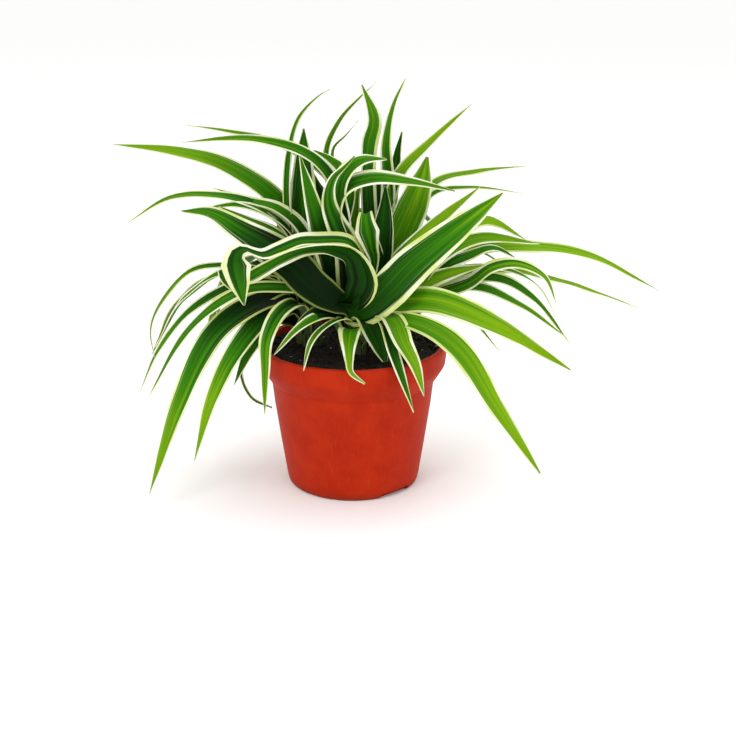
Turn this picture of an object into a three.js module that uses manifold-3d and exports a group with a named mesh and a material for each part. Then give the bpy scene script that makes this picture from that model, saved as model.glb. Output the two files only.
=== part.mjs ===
// Potted spider plant: an arching, variegated foliage plant in a round plastic nursery pot.
// Millimetres, +Z up. The origin is the middle of the pot's base, where it stands; -Y is the front.

import * as THREE from "three";
import { mergeVertices } from "three/addons/utils/BufferGeometryUtils.js";
import Module from "manifold-3d";

const wasm = await Module();
wasm.setup();

// Pot sizes
const POT_HEIGHT = 90;
const LIP_RADIUS = 58.5;
const LIP_WIDTH = 4;
const FOOT_RADIUS = 41.5;
const FOOT_ROUND = 3;
const FOOT_CORNER = 0.9;
const LIP_CORNER = 1;
const COLLAR_HEIGHT = 21;
const COLLAR_STEP = 1.4;
const FLARE = { radius: 57.5, height: 77.5 };
const WALL = 1.8;
const FLOOR = 2.2;
const BODY_RADIUS = 50.6;
const POT_SIDES = 48;
const NOTCHES = 2;
const NOTCH = { angle: -50, width: 22, height: 3.4, depth: 9 };

// Soil sizes
const GAP = 0.3;
const SOIL_EDGE = 86;
const SOIL_MIDDLE = 87.5;
const SOIL_SIDES = 36;
const SOIL_RINGS = 4;
const CLODS = { height: 0.9, across: 0.41, along: 0.37, skew: 0.11, fine: 0.8, fineShare: 0.5 };
const HOLE_SPARE = 5;

// Crown and leaf sizes
const CROWN = {
  radius: 9,
  bottom: 73,
  waist: 92,
  shoulder: 106,
  shoulderRadius: 6.5,
  top: 117,
  topRadius: 2.5,
  tip: 118,
};
const CROWN_SIDES = 12;
const LEAF_ROOT = { out: 3, height: 88 };
const LEAF_FOLD = 20;
const LEAF_RIB = 1.5;
const LEAF_TIP_RIB_SHARE = 0.4;
const LEAF_BASE_SHARE = 0.7;
const LEAF_TIP_SHARE = 0.05;
const LEAF_WIDEST_AT = 0.35;
const LEAF_TAPER = 1.9;
const STEPS_PER_STATION = 1.6;
const JOIN_SLIVER = 0.03;

// Where each crown comes out of the soil
const CROWNS = {
  front: [0, -13],
  left: [-27, 7],
  right: [27, 7],
  back: [0, 26],
};

// Each leaf is [bearing, width, roll, stations]. The bearing is its compass direction in degrees,
// 0 to the right and 90 to the back. A station is [out from the crown, height, aside], in mm,
// and the midrib is a smooth curve through the stations. Roll turns the blade about its midrib. A
// list of widths or rolls is spaced evenly along the leaf.
const LEAVES = {
  front: [
    // Two broad leaves rising to the right
    [-10, [4, 6, 14, 22, 25, 24, 21, 17, 11, 1], [70, 75, 70, 65, 65, 65], [
      [-5, 117, -12], [5, 116, -14], [14, 122, -14], [24, 132, -12], [36, 145, -8], [51, 158, -6],
      [73, 176, -3], [88, 188],
    ]],
    [15, 15, 35, [[26, 136], [45, 157], [80, 185]]],
    // Two that curl over themselves and then run to the left
    [195,
      [8, 8, 8, 8, 9, 9, 9, 9, 9, 9, 9, 8, 18, 12, 1],
      [-40, -40, -40, -40, -40, -40, -40, -40, -42, -40, -25, -20, -80, -95, -90], [
      [-5, 130, 3], [-4, 145, 5], [4, 158, 8], [25, 161, 10], [34, 161, 10], [46, 157, 10],
      [56, 154, 11], [62, 156, 12], [67, 158, 12], [71, 156, 12], [72, 148, 12], [70, 136, 11],
      [68, 125, 11],
    ]],
    [200,
      [5, 6, 8, 13, 19, 20, 18, 15, 14, 14, 13, 11, 8, 1],
      [-110, -115, -118, -122, -140, -165, -175, -172, -165, -150, -140, -120], [
      [8, 121, 10], [5, 125, 16], [3, 131, 21], [1, 137, 22], [2, 144, 22], [4, 150, 21], [8, 155, 18],
      [14, 157, 16], [23, 158, 13], [35, 156, 8], [47, 151, 5], [56, 146, 3], [66, 141, 0],
      [75, 144, -2], [80, 144, -3], [79, 139, -1], [75, 134, 1],
    ]],
    // Three to the left, behind and inside the curl
    [178, [4, 5, 11, 20, 23, 23, 19, 14, 8, 1], -60, [
      [1, 118, 12], [9, 123, 13], [17, 128, 13], [25, 134, 12], [35, 144, 9], [67, 163], [84, 173],
      [101, 174],
    ]],
    [190, 10, -25, [[23, 123], [49, 130], [70, 127], [98, 107], [124, 67]]],
    [170, 7, -35, [[6, 126], [14, 143]]],
    // Five that hang over the front of the pot, from the left to the right
    [235, 8, 0, [[13, 111, 4], [27, 110], [42, 104], [50, 89]]],
    [270, [8, 10, 13, 15, 15, 12, 8, 5, 3, 1], 0, [
      [12, 104, 1], [22, 107, -1], [34, 103, -2], [43, 96, -2], [47, 90, -1], [50, 84, 7],
    ]],
    [285, [8, 12, 15, 17, 19, 20, 18, 13, 4], 0, [[16, 110, 4], [30, 102, 6], [38, 92, 9]]],
    [310, 16, 0, [[24, 113, 7], [45, 102, 1], [56, 92], [64, 76]]],
    [300, 11, 0, [[20, 109, 9], [43, 97, 2], [53, 85, 2], [60, 66, 6]]],
    // Two long ones that fall to the lower right
    [-30, [5, 6, 10, 13, 15, 15, 13, 10, 6, 1], 35, [
      [22, 108, 6], [40, 112], [59, 107], [75, 96], [94, 71], [125, 33],
    ]],
    [-18, [12, 15, 18, 18, 18, 17, 15, 12, 8, 5, 1], 60, [
      [19, 118, 4], [31, 120, 5], [54, 123], [91, 111], [133, 89],
    ]],
    // Two short ones to the front left
    [205, 14, -30, [[14, 114, 3], [30, 114, 5], [44, 103, 6]]],
    [220, 10, -10, [[20, 113], [41, 110], [56, 96, -5]]],
    // Upright ones in the middle, whose tips bend back or over
    [90, [4, 4, 4, 4, 4, 4, 6, 10, 16, 9, 2], 0, [
      [-2, 144, -13], [-4, 154, -11], [-5, 163, -9], [-5, 170, -8], [-3, 173, -8], [1, 172, -8],
      [4, 168, -8],
    ]],
    [60, [6, 9, 12, 15, 17, 17, 14, 8, 1], 35, [
      [12, 140, -10], [14, 158, -12], [16, 172, -13], [17, 188, -13],
    ]],
    [20, 8, 20, [[18, 128], [20, 142], [16, 158]]],
    [165, [8, 12, 16, 19, 19, 17, 12, 7, 1], -50, [
      [14, 150, 5], [18, 164, 8], [21, 178, 11], [23, 189, 13], [25, 198, 14], [27, 208, 15],
    ]],
    [150, [10, 14, 18, 20, 19, 15, 10, 6, 1], -30, [
      [3, 153, 3], [8, 168, 7], [11, 179, 9], [10, 189, 10], [7, 196, 9], [1, 202, 7], [-4, 208, 4],
    ]],
    [5, [4, 4, 5, 6, 9, 13, 14, 12, 9, 5, 1], 35, [
      [-1, 151, 5], [-8, 174, 4], [-4, 187, 2], [11, 193], [34, 191], [61, 185],
    ]],
    [15, [4, 4, 5, 6, 8, 12, 13, 9, 1], 35, [
      [-1, 160, 5], [-6, 186, 4], [-2, 198, 2], [6, 204], [21, 204],
    ]],
  ],
  left: [
    // Seven that arch over and hang to the left, with a thin one that arches highest
    [213, 17, -30, [[11, 115], [36, 118], [66, 103], [90, 66], [113, 12]]],
    [225, 15, -20, [[10, 115], [36, 111], [60, 94], [78, 71], [94, 35]]],
    [248, 11, -20, [[25, 119, 4], [42, 118], [57, 105, -2], [64, 88], [66, 62]]],
    [215, 12, -25, [[14, 111], [28, 105], [43, 90], [55, 70]]],
    [140, [7, 8, 9, 9, 9, 9, 9, 8, 7, 5, 2], -70, [
      [16, 112], [40, 88], [56, 57, 4], [49, 41, 3], [34, 36],
    ]],
    [192, 9, -30, [[15, 122], [42, 127], [73, 112], [93, 89], [106, 63]]],
    [205, 5, -40, [[12, 126], [35, 138], [58, 143], [76, 141], [95, 123], [101, 109], [100, 91]]],
    [200, 16, -50, [[6, 101], [15, 106], [26, 105], [35, 96]]],
    // Two tall upright ones
    [45, 7, 10, [[-6, 146, 8], [-8, 183, 9], [-6, 208, 8], [-1, 226, 5], [9, 238, -1], [16, 242, -4]]],
    [80, [9, 12, 15, 17, 18, 18, 16, 11, 1], 20, [[3, 146, 4], [6, 182, 4], [7, 219, 3]]],
    // A broad one that crosses in front of them, and a short blunt one behind it
    [185, 10, -50, [
      [-12, 153, 2], [-16, 173, 3], [-15, 188, 5], [-6, 201, 8], [6, 209, 9], [22, 214, 10],
      [39, 216, 8], [74, 213, 2],
    ]],
    [150, [8, 9, 10, 10, 10, 10, 9, 7, 1], -60, [
      [-20, 168, -9], [-21, 183, -13], [-17, 194, -13], [-9, 201, -11], [0, 206, -8],
    ]],
    // Five that rise to the upper left
    [182, 11, -30, [[6, 151], [27, 172], [55, 180], [82, 179], [110, 163]]],
    [188, 10, -35, [[6, 145], [20, 166], [41, 175], [70, 172]]],
    [193, 14, -60, [[7, 139], [20, 156], [38, 167], [54, 176]]],
    [172, 12, -35, [[2, 156, 2], [17, 172, 4], [35, 177, 4], [57, 184, 4]]],
    [178, 10, -25, [[4, 149], [23, 170], [41, 177], [65, 182]]],
  ],
  back: [
    // Two long ones to the upper left
    [188, 15, -55, [[22, 143], [38, 164], [56, 183], [80, 198], [107, 206], [143, 211]]],
    [187, 10, -35, [[8, 174], [25, 196], [51, 211], [76, 217], [99, 221]]],
    // Six upright ones, which make the top of the plant
    [90, [10, 12, 13, 13, 13, 12, 12, 14, 10, 1], 30, [
      [1, 142, -10], [2, 186, -9], [3, 208, -10], [4, 222, -13], [4, 243, -6],
    ]],
    [340, 15, 70, [[18, 136, 2], [24, 178, 3], [23, 210], [27, 232], [33, 248, 3]]],
    [30, [7, 7, 7, 7, 7, 7, 7, 6, 1], 40, [[24, 153, -4], [28, 191, -6], [29, 203, -7], [31, 214, -8]]],
    [345, 12, 60, [[20, 159], [31, 191], [49, 211], [73, 234]]],
    [90, 6, 20, [[4, 176, 13], [8, 203, 16], [10, 222, 7], [10, 234, -4], [10, 244, -15]]],
    [90, 5, 20, [[12, 175, 8], [16, 202, 12], [16, 211, 4], [16, 220, -4]]],
    // Three that fill the middle, behind
    [150, [8, 14, 20, 22, 22, 20, 14, 1], -60, [[13, 135, 5], [21, 162, 1], [28, 177], [31, 192]]],
    [90, [8, 12, 16, 20, 20, 18, 12, 1], 0, [
      [8, 133, -15], [14, 161, -16], [16, 177, -18], [16, 190, -19],
    ]],
    [165, [8, 12, 16, 18, 18, 15, 10, 1], -60, [[22, 120, 3], [33, 137, 5], [43, 153, 3], [48, 168, 3]]],
    // Three to the upper right
    [-15, [7, 12, 15, 18, 20, 22, 21, 15, 2], 95, [
      [6, 108], [21, 136, -1], [31, 154, -2], [39, 173, -2], [44, 188, -1], [47, 202],
    ]],
    [12, 7, 25, [[31, 140], [51, 174], [74, 178], [111, 173]]],
    [18, 10, 25, [[33, 149], [54, 180], [82, 186], [117, 188]]],
  ],
  right: [
    // Eleven that arch over to the right
    [14, 12, 30, [[18, 131], [48, 143], [94, 142], [130, 134], [161, 118], [179, 108]]],
    [5, 13, 55, [[14, 126], [31, 144], [53, 152], [89, 148]]],
    [14, 13, 60, [[18, 138], [41, 156], [58, 161], [84, 148]]],
    [0, 11, 45, [[21, 130], [44, 142], [59, 147], [75, 140]]],
    [-10, 13, 35, [[21, 115], [46, 127], [59, 137], [74, 140], [90, 133], [98, 117]]],
    [-12, 14, 55, [[7, 117], [21, 127], [37, 134], [54, 139]]],
    [-4, 10, 25, [[22, 118], [50, 123], [77, 112], [106, 92]]],
    [6, 11, 30, [[27, 122], [62, 126], [85, 114], [112, 82]]],
    [10, 7, 20, [[34, 126], [70, 130], [92, 118], [104, 99]]],
    [20, 10, 25, [[23, 124], [71, 127], [119, 114], [175, 92]]],
    [22, 8, 35, [[20, 112], [48, 99], [74, 72]]],
  ],
};

// Leaves of the far side, spread by rule between two bearings. Reach, rise and drop are [least, most].
const SPREADS = {
  left: [
    { count: 6, bearings: [118, 172], reach: [75, 115], rise: [36, 58], drop: [40, 90] },
  ],
  back: [
    { count: 7, bearings: [42, 146], reach: [70, 105], rise: [55, 78], drop: [40, 100] },
    { count: 4, bearings: [40, 150], reach: [12, 34], rise: [70, 108], drop: [0, 4] },
  ],
  right: [
    { count: 5, bearings: [36, 66], reach: [75, 115], rise: [40, 62], drop: [0, 30] },
  ],
};
const SPREAD_WIDTHS = [9, 16];
const SPREAD_ROLLS = [-20, 20];
const SPREAD_MARGIN = 0.2;
const SEED = 4177;

// Where an arching leaf is at its stations, as [share of the reach, share of the rise or the drop]
const ARCH_RISE = [0.16, 0.62];
const ARCH_TOP = 0.45;
const ARCH_FALL = [0.78, 0.35];

const PLASTIC = new THREE.MeshStandardMaterial({ color: 0xb52e18, roughness: 0.55, metalness: 0 });
const PEAT = new THREE.MeshStandardMaterial({ color: 0x17120e, roughness: 0.95, metalness: 0 });
const FOLIAGE = new THREE.MeshStandardMaterial({ color: 0x3f8f1c, roughness: 0.45, metalness: 0 });

const radians = THREE.MathUtils.degToRad;
const lerp = THREE.MathUtils.lerp;

function seededRandom(seed) {
  let state = seed;
  return () => {
    state = (state * 16807) % 2147483647;
    return state / 2147483647;
  };
}

// A geometry as a solid that can be joined and cut
function toSolid(geometry) {
  const bare = geometry.clone();
  bare.deleteAttribute("normal");
  bare.deleteAttribute("uv");
  const merged = mergeVertices(bare, 1e-4);
  return new wasm.Manifold(
    new wasm.Mesh({
      numProp: 3,
      vertProperties: merged.attributes.position.array,
      triVerts: new Uint32Array(merged.index.array),
    }),
  );
}

function toMesh(name, solid, material) {
  const { numProp, vertProperties, triVerts } = solid.getMesh();
  const geometry = new THREE.BufferGeometry();
  geometry.setAttribute("position", new THREE.BufferAttribute(vertProperties, numProp));
  geometry.setIndex(new THREE.BufferAttribute(triVerts, 1));
  const mesh = new THREE.Mesh(geometry, material);
  mesh.name = name;
  return mesh;
}

// A turned solid about +Z from [radius, height] points
function turned(points, sides) {
  const profile = points.map(([radius, height]) => new THREE.Vector2(radius, height));
  return new THREE.LatheGeometry(profile, sides).rotateX(Math.PI / 2);
}

// Pot

const collarFoot = POT_HEIGHT - COLLAR_HEIGHT;
const innerLip = LIP_RADIUS - LIP_WIDTH;

// The inside of the wall, from the floor up to the lip, moved in by a clearance
function insideWall(clearance) {
  return [
    [0, FLOOR + clearance],
    [FOOT_RADIUS - WALL - FOOT_ROUND - clearance, FLOOR + clearance],
    [FOOT_RADIUS - WALL - clearance, FLOOR + FOOT_ROUND + clearance],
    [BODY_RADIUS - WALL - clearance, collarFoot - WALL],
    [BODY_RADIUS - WALL + COLLAR_STEP - clearance, collarFoot],
  ];
}

function pot() {
  const outside = [
    [0, 0],
    [FOOT_RADIUS - FOOT_ROUND, 0],
    [FOOT_RADIUS - FOOT_CORNER, FOOT_CORNER],
    [FOOT_RADIUS, FOOT_ROUND],
    [BODY_RADIUS, collarFoot - COLLAR_STEP],
    [BODY_RADIUS + COLLAR_STEP, collarFoot],
    [FLARE.radius, FLARE.height],
    [LIP_RADIUS, POT_HEIGHT - LIP_CORNER],
    [LIP_RADIUS - LIP_CORNER / 2, POT_HEIGHT],
    [innerLip + LIP_CORNER / 2, POT_HEIGHT],
    [innerLip, POT_HEIGHT - LIP_CORNER],
  ];
  let solid = toSolid(turned([...outside, ...insideWall(0).reverse()], POT_SIDES));
  for (let i = 0; i < NOTCHES; i++) {
    const notch = new THREE.BoxGeometry(NOTCH.depth, NOTCH.width, NOTCH.height * 2);
    notch.translate(FOOT_RADIUS, 0, 0);
    notch.rotateZ(radians(NOTCH.angle + (i * 360) / NOTCHES));
    solid = solid.subtract(toSolid(notch));
  }
  return toMesh("pot", solid, PLASTIC);
}

// Soil, filling the pot, with an uneven top and a plain hole for each crown

function clods(x, y) {
  const coarse = Math.sin(x * CLODS.across + y * CLODS.skew) * Math.sin(y * CLODS.along - x * CLODS.skew);
  const fine = Math.sin((x + y) * CLODS.fine);
  return CLODS.height * (coarse + CLODS.fineShare * fine);
}

function soil() {
  const wallTop = insideWall(GAP).at(-1);
  const edgeShare = (SOIL_EDGE - wallTop[1]) / (POT_HEIGHT - LIP_CORNER - wallTop[1]);
  const edge = lerp(wallTop[0], innerLip - GAP, edgeShare);
  const profile = [...insideWall(GAP), [edge, SOIL_EDGE]];
  for (let i = SOIL_RINGS; i >= 0; i--) {
    const share = i / (SOIL_RINGS + 1);
    profile.push([edge * share, lerp(SOIL_MIDDLE, SOIL_EDGE, share * share)]);
  }
  const geometry = turned(profile, SOIL_SIDES);
  const place = geometry.attributes.position;
  for (let i = 0; i < place.count; i++) {
    const z = place.getZ(i);
    if (z > SOIL_EDGE + GAP) {
      place.setZ(i, z + clods(place.getX(i), place.getY(i)));
    }
  }
  let solid = toSolid(geometry);
  const holeRadius = CROWN.radius + GAP;
  const holeBottom = CROWN.bottom - GAP;
  const holeTop = SOIL_MIDDLE + HOLE_SPARE;
  for (const [x, y] of Object.values(CROWNS)) {
    const depth = holeTop - holeBottom;
    const hole = new THREE.CylinderGeometry(holeRadius, holeRadius, depth, CROWN_SIDES * 2);
    hole.rotateX(Math.PI / 2);
    hole.translate(x, y, holeBottom + depth / 2);
    solid = solid.subtract(toSolid(hole));
  }
  return toMesh("soil", solid, PEAT);
}

// Leaves

// Half width of a blade along its length, as a share of its widest
function widthShare(along) {
  if (along < LEAF_WIDEST_AT) {
    return lerp(LEAF_BASE_SHARE, 1, Math.sin((along / LEAF_WIDEST_AT) * (Math.PI / 2)));
  }
  const past = (along - LEAF_WIDEST_AT) / (1 - LEAF_WIDEST_AT);
  return 1 - (1 - LEAF_TIP_SHARE) * past ** LEAF_TAPER;
}

function midrib([crownX, crownY], bearing, stations) {
  const forward = new THREE.Vector3(Math.cos(radians(bearing)), Math.sin(radians(bearing)), 0);
  const sideways = new THREE.Vector3(-forward.y, forward.x, 0);
  const points = [[LEAF_ROOT.out, LEAF_ROOT.height], ...stations].map(([out, height, aside = 0]) => {
    const point = new THREE.Vector3(crownX, crownY, height);
    return point.addScaledVector(forward, out).addScaledVector(sideways, aside);
  });
  const steps = Math.ceil(stations.length * STEPS_PER_STATION);
  return { sideways, points: new THREE.CatmullRomCurve3(points).getPoints(steps) };
}

// A value at a share of a leaf's length, from several that follow one another evenly along it
function valueAt(values, along) {
  const place = along * (values.length - 1);
  const before = Math.floor(place);
  return lerp(values[before], values[before + 1] ?? values[before], place - before);
}

function widthAt(width, along) {
  return Array.isArray(width) ? valueAt(width, along) : width * widthShare(along);
}

// A folded blade: a slim four-sided rod whose rings are laid along the midrib
function blade(crown, [bearing, width, roll, stations]) {
  const { sideways, points } = midrib(crown, bearing, stations);
  const steps = points.length - 1;
  const run = [0];
  for (let i = 1; i <= steps; i++) {
    run.push(run[i - 1] + points[i].distanceTo(points[i - 1]));
  }
  const side = sideways.clone();
  const rings = points.map((centre, i) => {
    const before = points[Math.max(i - 1, 0)];
    const after = points[Math.min(i + 1, steps)];
    const ahead = after.clone().sub(before).normalize();
    side.addScaledVector(ahead, -side.dot(ahead)).normalize();
    const along = run[i] / run[steps];
    const turn = radians(valueAt([roll].flat(), along));
    const across = side.clone().negate().applyAxisAngle(ahead, turn);
    const face = ahead.clone().cross(side).applyAxisAngle(ahead, turn);
    return { centre, across, face, half: widthAt(width, along) / 2 };
  });
  const widest = Math.max(...rings.map(({ half }) => half));
  const rod = new THREE.CylinderGeometry(1, 1, steps, 4, steps);
  const place = rod.attributes.position;
  const vertex = new THREE.Vector3();
  for (let i = 0; i < place.count; i++) {
    const { centre, across, face, half } = rings[Math.round(place.getY(i) + steps / 2)];
    const offset = place.getX(i) * half;
    const rib = place.getZ(i) * (LEAF_RIB / 2) * Math.max(half / widest, LEAF_TIP_RIB_SHARE);
    vertex.copy(centre).addScaledVector(across, offset * Math.cos(radians(LEAF_FOLD)));
    vertex.addScaledVector(face, Math.abs(offset) * Math.sin(radians(LEAF_FOLD)) + rib);
    place.setXYZ(i, vertex.x, vertex.y, vertex.z);
  }
  return toSolid(rod);
}

// Stations of an arching leaf from how far it reaches, how high it rises and how far its tip drops
function arch(reach, rise, drop) {
  const top = LEAF_ROOT.height + rise;
  return [
    [reach * ARCH_RISE[0], LEAF_ROOT.height + rise * ARCH_RISE[1]],
    [reach * ARCH_TOP, top],
    [reach * ARCH_FALL[0], top - drop * ARCH_FALL[1]],
    [reach, top - drop],
  ];
}

function spreadLeaves(random, { count, bearings, reach, rise, drop }) {
  const draw = ([least, most]) => lerp(least, most, random());
  return Array.from({ length: count }, (_, i) => {
    const place = lerp(SPREAD_MARGIN, 1 - SPREAD_MARGIN, random());
    const bearing = lerp(...bearings, (i + place) / count);
    const stations = arch(draw(reach), draw(rise), draw(drop));
    return [bearing, draw(SPREAD_WIDTHS), draw(SPREAD_ROLLS), stations];
  });
}

// A crown's short stock, sunk in the soil, which the leaves grow out of
function stock([x, y]) {
  const body = turned([
    [0, CROWN.bottom],
    [CROWN.radius, CROWN.bottom],
    [CROWN.radius, CROWN.waist],
    [CROWN.shoulderRadius, CROWN.shoulder],
    [CROWN.topRadius, CROWN.top],
    [0, CROWN.tip],
  ], CROWN_SIDES);
  return toSolid(body.translate(x, y, 0));
}

// A joined solid with the slivers of the join collapsed, and only its outer skin kept, which fills
// the pockets sealed between overlapping leaf bases
function cleaned(solid) {
  return solid.simplify(JOIN_SLIVER).decompose().reduce((a, b) => (a.volume() > b.volume() ? a : b));
}

function rosette(name, leaves) {
  let solid = stock(CROWNS[name]);
  for (const leaf of leaves) {
    solid = solid.add(blade(CROWNS[name], leaf));
  }
  return toMesh("rosette_" + name, cleaned(solid), FOLIAGE);
}

const plant = new THREE.Group();
plant.add(pot(), soil());
const random = seededRandom(SEED);
for (const name of Object.keys(CROWNS)) {
  const spread = (SPREADS[name] ?? []).flatMap((group) => spreadLeaves(random, group));
  plant.add(rosette(name, [...LEAVES[name], ...spread]));
}

export default plant;
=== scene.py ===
"""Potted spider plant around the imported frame: leaves, crowns, soil and nursery pot. Metres, +Z up."""

import math
import random

import bpy
import numpy as np
from mathutils import Matrix, Vector


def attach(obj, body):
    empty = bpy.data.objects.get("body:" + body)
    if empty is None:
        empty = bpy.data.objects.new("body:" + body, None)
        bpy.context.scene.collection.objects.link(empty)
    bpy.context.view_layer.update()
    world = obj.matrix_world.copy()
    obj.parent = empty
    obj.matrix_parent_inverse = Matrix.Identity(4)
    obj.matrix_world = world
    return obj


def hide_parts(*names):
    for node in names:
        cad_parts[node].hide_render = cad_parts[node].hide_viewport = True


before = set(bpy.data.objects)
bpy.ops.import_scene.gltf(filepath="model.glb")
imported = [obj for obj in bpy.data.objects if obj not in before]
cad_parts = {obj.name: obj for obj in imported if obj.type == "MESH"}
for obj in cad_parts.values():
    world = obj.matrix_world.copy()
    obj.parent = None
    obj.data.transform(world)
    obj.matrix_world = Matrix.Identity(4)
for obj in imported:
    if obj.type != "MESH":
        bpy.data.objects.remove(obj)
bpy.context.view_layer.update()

MM = 0.001

# Pot as [radius, height] from its axis, in mm, up the outside and down the inside
POT_OUTSIDE = [
    (38.5, 0), (39.9, 0.25), (40.9, 1.0), (41.4, 2.2), (42.1, 6), (45.3, 27), (48.9, 52), (50.5, 66.6),
    (50.8, 67.6), (51.5, 68.2), (52.2, 69), (53.0, 70.2), (55.9, 74.9), (57.1, 76.9), (57.6, 78.3),
    (57.9, 81), (58.3, 86), (58.5, 88.6), (58.3, 89.5), (57.6, 90),
]
POT_INSIDE = [
    (55.4, 90), (54.6, 89.6), (54.3, 88.6), (54.0, 84), (52.6, 76), (50.8, 69.5), (49.0, 67.5),
    (40.2, 6), (39.6, 4.4), (38.4, 3.1), (36.7, 2.2),
]
POT_SIDES = 128
POT_CREASE = 28
FOOT_RADIUS = 41.5
NOTCHES = 2
NOTCH_ANGLE = -50
NOTCH_SIZE = (9, 22, 6.8)
NOTCH_ROUNDING = 1.2

# Soil as [radius, height] up the pot's wall, and its lumpy top
SOIL_WALL = [(36.4, 2.5), (39.9, 6), (48.7, 67.5), (50.5, 69.5), (52.3, 76), (53.6, 84.5), (53.9, 85.6)]
SOIL_SIDES = 96
SOIL_RINGS = 26
SOIL_RADIUS = 54
SOIL_EDGE = 86
SOIL_MIDDLE = 87.5
CLOD_HEIGHT = 0.7
LUMP_HEIGHT = 0.45

# Crumbs on the soil: how far out they lie in mm, how far they may turn in radians, and their form in
# shares of their size
CRUMB_REACH = 52
CRUMB_TURN = 6.3
CRUMB_ROUGHNESS = (0.75, 1.2)
CRUMB_LENGTHS = (0.9, 2.0)
CRUMB_THICKNESS = 0.8
CRUMB_LIFT = 0.25

# Where each crown comes out of the soil, a crown's stock as [radius, height], and the ribs of its sheaths
CROWNS = {"front": (0, -13), "left": (-27, 7), "right": (27, 7), "back": (0, 26)}
STOCK = [(9, 73), (9, 84), (8.8, 92), (8.0, 99), (6.6, 106), (4.6, 112), (2.6, 117), (0.4, 118)]
CROWN_SIDES = 40
RIBS = 5
RIB_DEPTH = 0.10
RIB_TWIST = 0.06
RIB_START = (80, 90)

# A leaf's root as [out from the crown, height], its steps along the midrib's curve, its fold and twist
LEAF_ROOT = (3, 88)
CURVE_STEPS = 24
LEAST_SPAN = 1e-4
LEAF_FOLD = 20
LEAF_FOLD_SPREAD = 5
BASE_FOLD = 48
BASE_FOLD_END = 0.3
FOLD_ROUNDING = 0.16
LEAF_TWIST = 10

# The outline of a leaf that is given one width, in shares of its width and length
LEAF_BASE_SHARE = 0.7
LEAF_TIP_SHARE = 0.015
LEAF_WIDEST_AT = 0.35
LEAF_TAPER = 1.9

# A blade's faces across and along, its thickness and edges, and the waves of its rim in mm and radians
LEAF_ACROSS = 10
LEAF_ALONG = 56
LEAF_THICKNESS = 0.55
LEAF_CREASE = 60
WAVE_LENGTHS = (30, 46)
WAVE_HEIGHTS = (0.25, 0.6)
WAVE_STARTS = (0, 6)
WAVE_SHIFT = 1.7

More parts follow.
